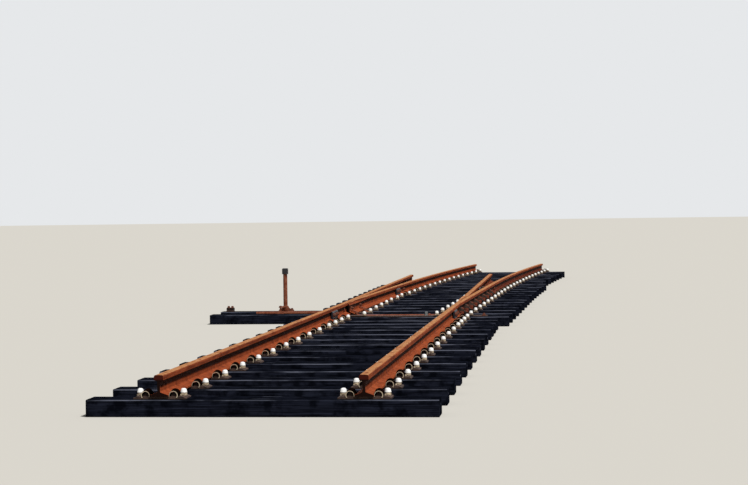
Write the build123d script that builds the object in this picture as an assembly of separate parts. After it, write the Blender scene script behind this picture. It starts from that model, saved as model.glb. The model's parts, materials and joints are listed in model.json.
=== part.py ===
"""Trap points panel of a railway siding: rails, switch blades, timbers, plates and hand gear.

Millimetres, +Z up. X runs across the track, to the right. Y runs along the track, away from
the open end. The origin lies on the track centre line at the underside of the toe timber.
"""
from build123d import *
from math import asin, atan, cos, degrees, radians, sin, tan
import os

# Rail section
rail_height = 158.75
head_width = 69.85
head_side = 38.0
head_crown_radius = 305.0
head_corner = 12.7
foot_width = 139.7
foot_edge = 11.1
web_thickness = 20.0
fishing_slope = 1 / 2.75
web_fillet = 12.0

# Track
gauge = 1435.1
timber_width = 254.0
timber_depth = 127.0
sleeper_length = 2590.0
sleeper_pitch = 762.0
shoulder_pitch = 552.5
joint_pitch = 610.0
switch_pitch = 736.6
plain_count = 11
shoulder_count = 2
switch_count = 24
rail_front_inset = 17.0
rail_gap = 6.0
mitre_overrun = 140.0

# Setting out of the two roads from the set in the stock rails
set_before_toe_timber = 112.0
trap_slope = 0.0094
through_slope = 0.0245
closure_radius = 224000.0
closure_bends = 6
toe_from_set = 340.0
heel_from_set = 5540.0
trap_rail_from_set = 10840.0
switch_throw = 105.0

# Longer timbers
switch_overhang = 1405.0
long_timber_left = 2650.0
slide_timber_count = 8
heel_timber_count = 2
trap_timber_count = 5

# Plates
plate_thickness = 20.0
plate_length = 180.0
plate_reach = 196.0
plate_edge = 10.0
plate_taper = 30.0
shoulder_height = 22.0
shoulder_width = 34.0
shoulder_taper = 10.0
shoulder_length = 90.0
shoulder_gap = 1.5
slide_reach = 312.0
heel_slide_reach = 338.0
heel_slide_count = 2
sole_plate_thickness = 12.0

# Braces that hold the stock rails upright on the slide plates
brace_width = 96.0
brace_jaw = 26.0
brace_low = 46.0
brace_high = 98.0
brace_rib = 14.0
brace_toe = 138.0
brace_gap = 0.3
sole_plate_width = 150.0
sole_plate_half_length = 1130.0

# Blades
blade_lift = 0.3
blade_clearance = 5.0
toe_web_offset = 50.0
toe_top_drop = 14.0
toe_top_run = 700.0
planing_depth = 20.0
planing_foot = 105.0
cut_margin = 10.0

# Fishplates and heel blocks
fishplate_length = 457.0
fishplate_inner = 24.0
fishplate_outer = 44.0
fishplate_shoulder = 15.0
heel_ease = 3.0
fishing_gap = 0.2
fishbolt_hole = 28.6
fishbolt_first = 63.5
fishbolt_pitch = 127.0
fishbolt_height = 73.0
heel_block_length = 230.0
heel_block_from_heel = 830.0
heel_block_bottom = 48.0
heel_block_top = 100.0

# Rods and brackets
rod_diameter = 32.0
rod_drop = 27.0
stretcher_row = 370.0
drive_row = 1246.0
drive_rod_left = 2127.0
rod_end_beyond_nut = 22.0
nut_across_corners = 58.0
nut_thickness = 24.0
bracket_width = 64.0
bracket_thickness = 12.0
bracket_reach = 97.0
bracket_top = 100.0
bracket_root = 44.0
bracket_knee = 30.0
bracket_bottom = 58.0
bracket_bend = 7.0
rod_hole_gap = 5.0
pin_gap = 3.0
nut_gap = 0.9
block_width = 34.0
block_height = 96.0
block_length = 46.0
block_from_centre = 308.0
slack_nut_from_block = 10.0

# Throw stand
spindle_from_centre = 1745.0
spindle_row = 1413.0
spindle_diameter = 57.0
spindle_top = 600.0
stand_base_size = 190.0
stand_base_thickness = 14.0
sleeve_height = 46.0
sleeve_size = 84.0
gusset_reach = 50.0
gusset_thickness = 12.0
running_gap = 0.3
crank_thickness = 16.0
crank_width = 50.0
crank_hub = 84.0
crank_length = 170.0
crank_pin = 22.0
yoke_size = 84.0
yoke_height = 36.0
yoke_slot = 36.0
head_block_width = 74.0
head_block_height = 80.0
head_block_chamfer = 8.0
end_block_from_centre = 2534.0
end_block_length = 95.0
end_block_width = 110.0
end_block_height = 52.0

head_half = head_width / 2
foot_half = foot_width / 2
web_half = web_thickness / 2
rail_offset = gauge / 2 + head_half
rail_seat = timber_depth + plate_thickness
head_bottom = rail_height - head_side
rod_level = rail_seat - rod_drop

# Rows of timbers, counted from the open end, with the toe timber at zero
rows = [i * sleeper_pitch for i in range(plain_count)]
for _ in range(shoulder_count):
    rows.append(rows[-1] + shoulder_pitch)
rows.append(rows[-1] + joint_pitch)
for _ in range(switch_count):
    rows.append(rows[-1] + switch_pitch)
joint_row = plain_count + shoulder_count
toe_row = joint_row + 1
toe_offset = rows[toe_row]
rows = [y - toe_offset for y in rows]
heel_row = toe_row + slide_timber_count
trap_row = heel_row + heel_timber_count
far_row = trap_row + trap_timber_count
rail_front = rows[0] - timber_width / 2 + rail_front_inset
near_joint = (rows[joint_row - 1] + rows[joint_row]) / 2
far_joint = rows[-1] + joint_pitch / 2
set_y = -set_before_toe_timber

# Headings are measured from +Y towards +X
trap_angle = -atan(trap_slope)
through_angle = atan(through_slope)
split_angle = through_angle - trap_angle
open_angle = degrees(asin(switch_throw / (heel_from_set - toe_from_set)))


def forward(angle):
    return Vector(sin(angle), cos(angle))


def across(angle):
    return Vector(cos(angle), -sin(angle))


def along_road(angle, distance, offset):
    """Point on a straight road at a distance from the set, offset to its right."""
    return Vector(0, set_y) + forward(angle) * distance + across(angle) * offset


def meet(angle_a, angle_b, offset):
    """Point where the same rail of two roads through the set crosses itself."""
    middle = (angle_a + angle_b) / 2
    half = (angle_b - angle_a) / 2
    return Vector(0, set_y) + across(middle) * (offset / cos(half))


heel_centre = along_road(through_angle, heel_from_set, 0)
curve_centre = heel_centre + across(through_angle) * closure_radius
closure_swing = asin((far_joint - curve_centre.Y) / closure_radius) - through_angle
bend = closure_swing / closure_bends


def closure_points(offset):
    """Heel, bends and far end of a rail beyond the blades: short straight runs that touch its curve."""
    radius = closure_radius - offset
    points = [curve_centre - across(through_angle) * radius]
    for i in range(closure_bends):
        out = across(through_angle + (i + 0.5) * bend)
        points.append(curve_centre - out * (radius / cos(bend / 2)))
    points.append(curve_centre - across(through_angle + closure_swing) * radius)
    return points


def trap_rail(y, offset):
    """Place and heading of a rail of the trap road at a row."""
    if y <= set_y:
        return offset, 0.0
    return offset / cos(trap_angle) + (y - set_y) * tan(trap_angle), trap_angle


def through_rail(y, offset):
    """Place and heading of a rail of the through road at a row."""
    if y <= set_y:
        return offset, 0.0
    if y <= heel_centre.Y:
        return offset / cos(through_angle) + (y - set_y) * tan(through_angle), through_angle
    points = closure_points(offset)
    for start, end in zip(points, points[1:]):
        if y <= end.Y:
            break
    heading = atan((end.X - start.X) / (end.Y - start.Y))
    return start.X + (y - start.Y) * tan(heading), heading


def foot_top(x):
    """Height of the foot's upper face at x from the rail's centre line."""
    return foot_edge + (foot_half - x) * fishing_slope


def head_under(x):
    """Height of the head's lower face at x from the rail's centre line."""
    return head_bottom - (head_half - x) * fishing_slope


def upright(points):
    """Face on the XZ plane from points of x and height."""
    return make_face(Plane.XZ * Polyline(*points, close=True))


def rail_section():
    """Flat-bottom rail section, its foot at zero and its head crowned."""
    head_edge = rail_height - head_half**2 / 2 / head_crown_radius
    right = [
        (foot_half, 0),
        (foot_half, foot_edge),
        (web_half, foot_top(web_half)),
        (web_half, head_under(web_half)),
        (head_half, head_bottom),
        (head_half, head_edge),
    ]
    left = [(-x, z) for x, z in reversed(right)]
    sides = Polyline(*left, *right)
    crown = ThreePointArc(right[-1], (0, rail_height), left[0])
    face = make_face(Plane.XZ * Wire([*sides.edges(), crown]))
    corners = face.vertices().sort_by(Axis.Z)[-2:]
    face = fillet(corners, head_corner)
    roots = face.vertices().sort_by(lambda v: abs(v.X))[:4]
    return fillet(roots, web_fillet)


section = rail_section()


def turned(shape, point, heading, lift=0.0):
    """Shape drawn along +Y at the origin, set down at a plan point on a heading."""
    return Pos(point.X, point.Y, lift) * Rot(0, 0, -degrees(heading)) * shape


def rail(points, lift=rail_seat):
    """Rail along plan points, mitred where it is set."""
    headings = [atan((b.X - a.X) / (b.Y - a.Y)) for a, b in zip(points, points[1:])]
    first, last = headings[0], headings[-1]
    mitres = [(a + b) / 2 for a, b in zip([first, *headings], [*headings, last])]
    cuts = [Plane((p.X, p.Y, 0), z_dir=forward(h)) for p, h in zip(points, mitres)]
    runs = []
    for i, heading in enumerate(headings):
        length = (points[i + 1] - points[i]).length + 2 * mitre_overrun
        run = extrude(section, length, dir=(0, 1, 0))
        run = turned(run, points[i] - forward(heading) * mitre_overrun, heading)
        run = split(run, bisect_by=cuts[i], keep=Keep.TOP)
        runs.append(split(run, bisect_by=cuts[i + 1], keep=Keep.BOTTOM))
    bar = runs[0].fuse(*runs[1:]) if len(runs) > 1 else runs[0]
    return Pos(0, 0, lift) * bar


def bolt_holes(end, heading, into):
    """Two fishbolt holes at a rail's end; into is 1 or -1 along the heading."""
    holes = []
    for i in range(2):
        step = into * (fishbolt_first + i * fishbolt_pitch)
        at = end + forward(heading) * step
        drill = Rot(0, 90, 0) * Cylinder(fishbolt_hole / 2, foot_width)
        holes.append(turned(drill, at, heading, rail_seat + fishbolt_height))
    return holes


parts = {}


# Timbers
def timber(row, left, right):
    middle = Pos((left + right) / 2, rows[row], timber_depth / 2)
    return middle * Box(right - left, timber_width, timber_depth)


def timber_ends(row):
    """Left and right ends of the timber at a row."""
    half = sleeper_length / 2
    through = through_rail(rows[row], 0)[0]
    trap = trap_rail(rows[row], 0)[0]
    if row < toe_row:
        return -half, half
    if row in (toe_row + 1, toe_row + 2):
        return -long_timber_left, through + switch_overhang
    if row < far_row:
        return trap - half, through + switch_overhang
    return through - half, through + half


timber_groups = {
    "plain_sleepers": range(0, plain_count),
    "joint_sleepers": range(plain_count, toe_row),
    "toe_timber": range(toe_row, toe_row + 1),
    "long_toe_timbers": range(toe_row + 1, toe_row + 3),
    "slide_timbers": range(toe_row + 3, heel_row),
    "heel_timbers": range(heel_row, trap_row),
    "trap_timbers": range(trap_row, far_row),
    "far_sleepers": range(far_row, len(rows)),
}
for name, group in timber_groups.items():
    parts[name] = Compound([timber(row, *timber_ends(row)) for row in group])

# Running rails
left_near = Vector(-rail_offset, rail_front)
right_near = Vector(rail_offset, rail_front)
half_gap = Vector(0, rail_gap / 2)
left_joint = Vector(-rail_offset, near_joint)
right_joint = Vector(rail_offset, near_joint)
for name, start, end in (
    ("left_lead_rail", left_near, left_joint),
    ("right_lead_rail", right_near, right_joint),
):
    bar = rail([start, end - half_gap])
    for hole in bolt_holes(start, 0, 1):
        bar -= hole
    parts[name] = bar

trap_left_end = along_road(trap_angle, trap_rail_from_set, -rail_offset)
trap_right_end = along_road(trap_angle, trap_rail_from_set, rail_offset)
left_set = meet(0, trap_angle, -rail_offset)
right_set = meet(0, through_angle, rail_offset)
parts["left_stock_rail"] = rail([left_joint + half_gap, left_set, trap_left_end])

trap_heel = along_road(trap_angle, heel_from_set, rail_offset)
parts["right_trap_rail"] = rail([trap_heel + forward(trap_angle) * (rail_gap / 2), trap_right_end])

far_heading = through_angle + closure_swing
left_heel, *left_bends, left_far = closure_points(-rail_offset)
_, *right_bends, right_far = closure_points(rail_offset)
left_start = left_heel + forward(through_angle) * (rail_gap / 2)
for name, points in (
    ("right_stock_rail", [right_joint + half_gap, right_set, *right_bends, right_far]),
    ("left_through_rail", [left_start, *left_bends, left_far]),
):
    bar = rail(points)
    for hole in bolt_holes(points[-1], far_heading, -1):
        bar -= hole
    parts[name] = bar


# Switch blades, drawn beside a stock rail that runs along +Y from the crossing point
planing_start = forward(split_angle) * ((head_width + blade_clearance) / sin(split_angle))


def blade(heel_distance):
    """Right-hand neighbour of a stock rail: set and planed from the planing start to the toe."""
    toe = Vector(toe_web_offset, toe_from_set)
    heel = forward(split_angle) * (heel_distance - rail_gap / 2)
    bar = rail([toe, planing_start, heel], lift=0)
    far = 2 * rail_height
    reach = foot_half + blade_clearance
    back = head_half + blade_clearance
    over = blade_clearance / cos(atan(fishing_slope))
    beside_stock = upright([
        (-far, -far),
        (reach, -far),
        (reach, foot_edge + over),
        (back, foot_top(back) + over),
        (back, far),
        (-far, far),
    ])
    bar -= extrude(beside_stock, heel_distance, dir=(0, 1, 0))
    gauge_planing = upright([
        (head_half, far),
        (head_half, rail_height - planing_depth),
        (head_half + planing_depth, planing_foot),
        (far, planing_foot),
        (far, far),
    ])
    planed = extrude(gauge_planing, planing_start.length, dir=(0, 1, 0))
    bar -= turned(planed, Vector(0, 0), split_angle)
    low = rail_height - toe_top_drop
    above = rail_height + cut_margin
    ramp = make_face(Plane.YZ * Polyline(
        (toe_from_set - cut_margin, low),
        (toe_from_set, low),
        (toe_from_set + toe_top_run, rail_height),
        (toe_from_set + toe_top_run, above),
        (toe_from_set - cut_margin, above),
        close=True,
    ))
    bar -= extrude(ramp, far, both=True)
    return Pos(0, 0, rail_seat + blade_lift) * bar


left_cross = meet(trap_angle, through_angle, -rail_offset)
right_cross = meet(trap_angle, through_angle, rail_offset)
parts["left_blade"] = turned(blade((left_heel - left_cross).length), left_cross, trap_angle)
mirrored = mirror(blade((trap_heel - right_cross).length), about=Plane.YZ)
parts["right_blade"] = turned(mirrored, right_cross, through_angle)


def blade_centre(distance):
    """Offset of a closed blade's centre line from its stock rail, and its heading."""
    slope = (planing_start.X - toe_web_offset) / (planing_start.Y - toe_from_set)
    return toe_web_offset + (distance - toe_from_set) * slope, atan(slope)


# Fishplates
def fishplate_pair(ease_from=None):
    """Two fishplates along +Y, centred on a joint; past ease_from they stand clear of the rail."""
    def bars(ease, start, end):
        outline = [
            (fishplate_inner, foot_top(fishplate_inner) + ease),
            (fishplate_outer, foot_top(fishplate_outer) + ease),
            (fishplate_outer, head_bottom - fishplate_shoulder),
            (head_half, head_under(head_half) - ease),
            (fishplate_inner, head_under(fishplate_inner) - ease),
        ]
        right = Pos(0, start, 0) * extrude(upright(outline), end - start, dir=(0, 1, 0))
        return right, mirror(right, about=Plane.YZ)

    half = fishplate_length / 2
    if ease_from is None:
        return Compound(list(bars(fishing_gap, -half, half)))
    loose = bars(heel_ease, -half, ease_from)
    tight = bars(fishing_gap, ease_from, half)
    return Compound([(a + b).solid() for a, b in zip(loose, tight)])


parts["left_joint_fishplates"] = turned(fishplate_pair(), left_joint, 0, rail_seat)
parts["right_joint_fishplates"] = turned(fishplate_pair(), right_joint, 0, rail_seat)
parts["left_heel_fishplates"] = turned(fishplate_pair(rail_gap / 2), left_heel, through_angle, rail_seat)
parts["right_heel_fishplates"] = turned(fishplate_pair(rail_gap / 2), trap_heel, trap_angle, rail_seat)


# Heel blocks between the stock rails and the rails beyond the blades
def heel_block(side):
    y = left_heel.Y + heel_block_from_heel
    outer = trap_rail(y, -rail_offset) if side < 0 else through_rail(y, rail_offset)
    inner = through_rail(y, -rail_offset) if side < 0 else trap_rail(y, rail_offset)
    corners = []
    for place, sign in ((outer, -side), (inner, side)):
        for end in (-1, 1):
            dy = end * heel_block_length / 2
            corners.append((place[0] + dy * tan(place[1]) + sign * web_half / cos(place[1]), y + dy))
    a, b, c, d = corners
    outline = make_face(Polyline(a, b, d, c, close=True))
    block = extrude(outline, heel_block_top - heel_block_bottom)
    return Pos(0, 0, rail_seat + heel_block_bottom) * block


parts["left_heel_block"] = heel_block(-1)
parts["right_heel_block"] = heel_block(1)


# Plates, drawn about a rail that runs along +Y
def slab(left, right, bottom=timber_depth):
    """Cast plate with its ends tapered down to a thin edge."""
    edge = bottom + (rail_seat - bottom) * plate_edge / plate_thickness
    outline = [
        (left, bottom),
        (right, bottom),
        (right, edge),
        (right - plate_taper, rail_seat),
        (left + plate_taper, rail_seat),
        (left, edge),
    ]
    return Pos(0, -plate_length / 2, 0) * extrude(upright(outline), plate_length, dir=(0, 1, 0))


def shoulder_at(centre, side):
    """Lug beside the foot of a rail, on its left or right."""
    near = foot_half + shoulder_gap
    top = rail_seat + shoulder_height
    outline = [
        (centre + side * near, rail_seat),
        (centre + side * near, top),
        (centre + side * (near + shoulder_width - shoulder_taper), top),
        (centre + side * (near + shoulder_width), rail_seat),
    ]
    lug = extrude(upright(outline), shoulder_length, dir=(0, 1, 0))
    return Pos(0, -shoulder_length / 2, 0) * lug


def brace_at(side):
    """Bracket that leans on the outer side of a stock rail's web, on two ribs."""
    toe = side * brace_toe
    near = side * (web_half + brace_gap)
    foot = side * (foot_half + shoulder_gap)
    jaw = [
        (near, rail_seat + brace_low),
        (near, rail_seat + brace_high),
        (side * (web_half + brace_jaw), rail_seat + brace_high),
        (toe, rail_seat),
        (foot, rail_seat),
        (foot, rail_seat + brace_low),
    ]
    rib = extrude(upright(jaw), brace_rib, dir=(0, 1, 0))
    pad = Pos(near + side * brace_jaw / 2, 0, rail_seat + (brace_low + brace_high) / 2) * Box(
        brace_jaw, brace_width, brace_high - brace_low
    )
    first = Pos(0, -brace_width / 2, 0) * rib
    last = Pos(0, brace_width / 2 - brace_rib, 0) * rib
    return pad + first + last


def baseplate(y, place):
    x, heading = place
    plate = slab(-plate_reach, plate_reach)
    for side in (-1, 1):
        plate += shoulder_at(0, side)
    return turned(plate, Vector(x, y), heading)


def slide_plate(y, place, side, reach, bottom=timber_depth):
    """Plate under a stock rail and its blade; side is -1 for the left stock rail."""
    x, heading = place
    ends = sorted((side * plate_reach, -side * reach))
    plate = slab(*ends, bottom) + brace_at(side)
    return turned(plate, Vector(x, y), heading)


def twin_plate(y, stock, inner, side):
    """Plate under a stock rail and the rail beside it."""
    x, heading = stock
    gap = inner[0] - x
    ends = sorted((side * plate_reach, gap - side * plate_reach))
    plate = slab(*ends) + shoulder_at(0, side)
    plate += Pos(gap, 0, 0) * Rot(0, 0, -degrees(inner[1] - heading)) * shoulder_at(0, -side)
    return turned(plate, Vector(x, y), heading)


plain_rows = rows[:toe_row]
slide_rows = rows[toe_row:heel_row]
twin_rows = rows[heel_row:far_row]
far_rows = rows[far_row:]
for side, name in ((-1, "left"), (1, "right")):
    offset = side * rail_offset
    parts[f"{name}_baseplates"] = Compound([baseplate(y, trap_rail(y, offset)) for y in plain_rows])
    parts[f"{name}_far_baseplates"] = Compound([baseplate(y, through_rail(y, offset)) for y in far_rows])
for side, name, road in ((-1, "left", trap_rail), (1, "right", through_rail)):
    plates = []
    for i, y in enumerate(slide_rows):
        bottom = timber_depth + (sole_plate_thickness if i == 0 else 0)
        reach = slide_reach if i < slide_timber_count - heel_slide_count else heel_slide_reach
        plates.append(slide_plate(y, road(y, side * rail_offset), side, reach, bottom))
    parts[f"{name}_slide_plates"] = Compound(plates)
parts["left_twin_plates"] = Compound(
    [twin_plate(y, trap_rail(y, -rail_offset), through_rail(y, -rail_offset), -1) for y in twin_rows]
)
parts["right_twin_plates"] = Compound(
    [twin_plate(y, through_rail(y, rail_offset), trap_rail(y, rail_offset), 1) for y in twin_rows]
)
parts["sole_plate"] = Pos(0, 0, timber_depth + sole_plate_thickness / 2) * Box(
    2 * sole_plate_half_length, sole_plate_width, sole_plate_thickness
)


# Brackets on the blades, drawn on the right of a rail along +Y
def bracket():
    """Bent strap from the blade's web, over its foot and down past the rod."""
    t = bracket_thickness
    outline = [
        (web_half, bracket_root),
        (web_half, bracket_top),
        (web_half + t, bracket_top),
        (web_half + t, bracket_root + t),
        (bracket_reach, bracket_knee),
        (bracket_reach, -bracket_bottom),
        (bracket_reach - t, -bracket_bottom),
        (bracket_reach - t, bracket_knee - t),
        (web_half + t, bracket_root),
    ]
    face = upright(outline)
    bends = face.vertices().filter_by_position(Axis.Z, 0, bracket_top, inclusive=(False, False))
    bends = bends.filter_by_position(Axis.X, web_half, bracket_reach, inclusive=(False, True))
    face = fillet(bends, bracket_bend)
    strap = Pos(0, -bracket_width / 2, 0) * extrude(face, bracket_width, dir=(0, 1, 0))
    drill = Rot(0, 90, 0) * Cylinder(rod_diameter / 2 + rod_hole_gap, bracket_reach)
    hole = Pos(bracket_reach, 0, -rod_drop - blade_lift) * drill
    return Pos(0, 0, rail_seat + blade_lift) * (strap - hole)


def on_left_blade(shape, row):
    """Piece on the left blade at a row."""
    distance = (row - left_cross.Y) / cos(trap_angle)
    offset, slope = blade_centre(distance)
    local = Pos(offset, distance, 0) * Rot(0, 0, -degrees(slope)) * shape
    return turned(local, left_cross, trap_angle)


def on_right_blade(shape, row):
    distance = (row - right_cross.Y) / cos(through_angle)
    offset, slope = blade_centre(distance)
    local = Pos(offset, distance, 0) * Rot(0, 0, -degrees(slope)) * shape
    return turned(mirror(local, about=Plane.YZ), right_cross, through_angle)


parts["left_stretcher_bracket"] = on_left_blade(bracket(), stretcher_row)
parts["right_stretcher_bracket"] = on_right_blade(bracket(), stretcher_row)
parts["drive_bracket"] = on_left_blade(bracket(), drive_row)


def leg_faces(piece):
    """Lowest and highest x of a bracket's hanging leg, and the row of its middle."""
    box = piece.bounding_box()
    width, length = 2 * box.size.X, 2 * box.size.Y
    middle = box.center()
    slice_at_rod = Pos(middle.X, middle.Y, rod_level) * Box(width, length, rod_diameter)
    leg = (piece & slice_at_rod).bounding_box()
    return leg.min.X, leg.max.X, (leg.min.Y + leg.max.Y) / 2


def rod(start, end, y):
    return Pos((start + end) / 2, y, rod_level) * Rot(0, 90, 0) * Cylinder(rod_diameter / 2, end - start)


def nut(start, y):
    """Hexagon nut with its flats level, clear of the blade's foot."""
    hexagon = RegularPolygon(nut_across_corners / 2, 6, rotation=30)
    bar = extrude(hexagon, nut_thickness / 2, both=True)
    return Pos(start + nut_thickness / 2, y, rod_level) * Rot(0, 90, 0) * bar


left_low, left_high, left_y = leg_faces(parts["left_stretcher_bracket"])
right_low, right_high, right_y = leg_faces(parts["right_stretcher_bracket"])
stretcher_y = (left_y + right_y) / 2
stretcher_start = left_low - nut_gap - nut_thickness - rod_end_beyond_nut
stretcher_end = right_high + nut_gap + nut_thickness + rod_end_beyond_nut
slack_nut_start = block_from_centre + block_width / 2 + slack_nut_from_block
parts["stretcher_bar"] = (
    rod(stretcher_start, stretcher_end, stretcher_y)
    + nut(left_low - nut_gap - nut_thickness, stretcher_y)
    + nut(left_high + nut_gap, stretcher_y)
    + nut(slack_nut_start, stretcher_y)
    + nut(right_high + nut_gap, stretcher_y)
)
clamp = Pos(block_from_centre, stretcher_y, rod_level) * Box(block_width, block_length, block_height)
clamp_bore = Rot(0, 90, 0) * Cylinder(rod_diameter / 2 + running_gap, block_width)
parts["stretcher_clamp"] = clamp - Pos(block_from_centre, stretcher_y, rod_level) * clamp_bore

# Throw stand and drive rod
drive_low, drive_high, drive_y = leg_faces(parts["drive_bracket"])
drive_arm = left_heel.Y - drive_y
drive_travel = drive_arm * radians(open_angle)
crank_swing = asin(drive_travel / 2 / crank_length)
spindle = Vector(-spindle_from_centre, spindle_row)
pin = spindle + Vector(-sin(crank_swing), -cos(crank_swing)) * crank_length
stand_top = timber_depth + stand_base_thickness + sleeve_height
crank_bottom = stand_top + running_gap

base = Pos(spindle.X, rows[toe_row + 2], timber_depth + stand_base_thickness / 2) * Box(
    stand_base_size, stand_base_size, stand_base_thickness
)
sleeve = Pos(spindle.X, spindle.Y, stand_top - sleeve_height / 2) * Box(
    sleeve_size, sleeve_size, sleeve_height
)
gusset = upright([
    (sleeve_size / 2, stand_top - sleeve_height),
    (sleeve_size / 2, stand_top),
    (sleeve_size / 2 + gusset_reach, stand_top - sleeve_height),
])
gusset = Pos(0, -gusset_thickness / 2, 0) * extrude(gusset, gusset_thickness, dir=(0, 1, 0))
bore = Pos(spindle.X, spindle.Y, stand_top - sleeve_height / 2) * Cylinder(
    spindle_diameter / 2 + running_gap, sleeve_height
)
stand = base + sleeve - bore
for turn in (0, 180):
    stand += Pos(spindle.X, spindle.Y, 0) * Rot(0, 0, turn) * gusset
parts["throw_stand"] = stand

spindle_bottom = stand_top - sleeve_height + running_gap
spindle_height = timber_depth + spindle_top - head_block_height - spindle_bottom
post = Pos(spindle.X, spindle.Y, spindle_bottom + spindle_height / 2) * Cylinder(
    spindle_diameter / 2, spindle_height
)
parts["throw_spindle"] = post

arm_middle = (spindle + pin) * 0.5
arm = Pos(arm_middle.X, arm_middle.Y, crank_bottom + crank_thickness / 2) * Rot(
    0, 0, -degrees(crank_swing)
) * Box(crank_width, crank_length, crank_thickness)
for point, size in ((spindle, crank_hub), (pin, crank_width)):
    arm += Pos(point.X, point.Y, crank_bottom + crank_thickness / 2) * Cylinder(size / 2, crank_thickness)
pin_bottom = rod_level - yoke_height / 2
pin_length = crank_bottom - pin_bottom
arm += Pos(pin.X, pin.Y, pin_bottom + pin_length / 2) * Cylinder(crank_pin / 2, pin_length)
spindle_hole = Cylinder(spindle_diameter / 2, crank_thickness)
arm -= Pos(spindle.X, spindle.Y, crank_bottom + crank_thickness / 2) * spindle_hole
parts["throw_crank"] = arm
head = Box(head_block_width, head_block_width, head_block_height)
head = chamfer(head.edges().group_by(Axis.Z)[-1], head_block_chamfer)
parts["spindle_head"] = Pos(spindle.X, spindle.Y, timber_depth + spindle_top - head_block_height / 2) * head

mid_y = spindle.Y - crank_length * (1 + cos(crank_swing)) / 2
yoke = Pos(pin.X, mid_y, rod_level) * Box(yoke_size, yoke_size, yoke_height)
slot = Pos(pin.X, mid_y, rod_level) * Box(crank_pin + 2 * pin_gap, yoke_slot, yoke_height)
drive_end = drive_high + nut_gap + nut_thickness + rod_end_beyond_nut
drive = rod(-drive_rod_left, drive_end, drive_y) + yoke - slot
drive += nut(drive_low - nut_gap - nut_thickness, drive_y) + nut(drive_high + nut_gap, drive_y)
parts["drive_rod"] = drive

parts["end_block"] = Pos(
    -end_block_from_centre, rows[toe_row + 2], timber_depth + end_block_height / 2
) * Box(end_block_length, end_block_width, end_block_height)

os.makedirs("parts", exist_ok=True)
for name, shape in parts.items():
    shape.label = name
    export_step(shape, f"parts/{name}.step")

print("left heel", round(left_heel.X, 2), round(left_heel.Y, 2))
print("trap heel", round(trap_heel.X, 2), round(trap_heel.Y, 2))
print("open angle", round(open_angle, 4))
print("stretcher row", round(stretcher_y, 2), "drive row", round(drive_y, 2))
print("spindle", spindle.X, spindle.Y, "half swing", round(degrees(crank_swing), 4))
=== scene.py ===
"""Looks of the railway trap points panel: worn timbers, fastenings, finishes, light and camera."""
import json
import math
import bpy
import numpy as np
from mathutils import Matrix, Vector


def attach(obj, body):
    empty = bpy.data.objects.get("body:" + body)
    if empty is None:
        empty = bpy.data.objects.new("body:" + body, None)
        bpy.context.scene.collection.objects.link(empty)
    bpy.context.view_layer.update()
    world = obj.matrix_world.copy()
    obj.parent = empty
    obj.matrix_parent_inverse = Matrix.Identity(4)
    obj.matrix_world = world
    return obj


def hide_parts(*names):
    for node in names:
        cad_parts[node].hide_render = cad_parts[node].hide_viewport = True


bl_info = {
    "name": "Trap Points Panel",
    "version": (1, 0, 0),
    "blender": (4, 5, 0),
    "location": "View3D > Sidebar > Trap Points",
    "description": "Dresses a trap points panel with worn timbers, clips, screws, bolts and finishes",
    "category": "Object",
}

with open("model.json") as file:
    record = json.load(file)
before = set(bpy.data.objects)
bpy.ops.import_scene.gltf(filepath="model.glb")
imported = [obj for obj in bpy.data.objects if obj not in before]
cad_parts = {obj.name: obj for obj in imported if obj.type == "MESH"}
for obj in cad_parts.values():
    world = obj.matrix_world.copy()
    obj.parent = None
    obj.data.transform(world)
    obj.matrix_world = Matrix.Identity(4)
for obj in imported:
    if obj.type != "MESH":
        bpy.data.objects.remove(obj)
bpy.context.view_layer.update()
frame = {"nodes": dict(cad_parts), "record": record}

# Setting out of the track, in metres and radians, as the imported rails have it
RAIL_OFFSET = 0.752475
RAIL_SEAT = 0.147
WEB_HALF = 0.010
TIMBER_TOP = 0.127
SET_Y = -0.112
TRAP_ANGLE = -math.atan(0.0094)
THROUGH_ANGLE = math.atan(0.0245)
HEEL_FROM_SET = 5.540
TRAP_END_FROM_SET = 10.840
CURVE_RADIUS = 224.0
CURVE_BENDS = 6
FRONT_Y = -10.1816
FAR_Y = 17.24682
NEAR_JOINT_Y = -1.0416


def linear(hex_code):
    """Linear RGBA of an sRGB hex colour."""
    channels = [int(hex_code[i:i + 2], 16) / 255 for i in (1, 3, 5)]
    low = [c / 12.92 if c <= 0.04045 else ((c + 0.055) / 1.055) ** 2.4 for c in channels]
    return (*low, 1.0)


def colour(name, hex_code, text):
    """Colour property with its default given as sRGB hex."""
    return bpy.props.FloatVectorProperty(
        name=name, description=text, subtype="COLOR", size=4, min=0, max=1, default=linear(hex_code)
    )


def length(name, metres, text):
    """Length property with its default in metres."""
    return bpy.props.FloatProperty(name=name, description=text, unit="LENGTH", default=metres, min=0.0)


class TimberSettings(bpy.types.PropertyGroup):
    """Sizes and colours of the worn timbers."""

    edge_radius: length("Edge Radius", 0.009, "Radius that the timbers' long edges are worn to")
    wane: length("Wane", 0.006, "Most that a corner is worn away beyond its radius")
    shake_depth: length("Shake Depth", 0.012, "Depth of the drying cracks along the grain")
    shake_width: length("Shake Width", 0.005, "Width of the drying cracks along the grain")
    waviness: length("Waviness", 0.0014, "Depth of the hollows that weather leaves in a face")
    dark: colour("Dark", "#05060b", "Creosote where it is still thick")
    worn: colour("Worn", "#232633", "Creosote worn thin")
    # Bare silvered grain on the top, and painted highlight with rubbed wear along the rounded top edges
    grey_and_edge_highlight: colour("Grey", "#5c5f6c", "Bare silvered grain and dust on edges")


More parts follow.
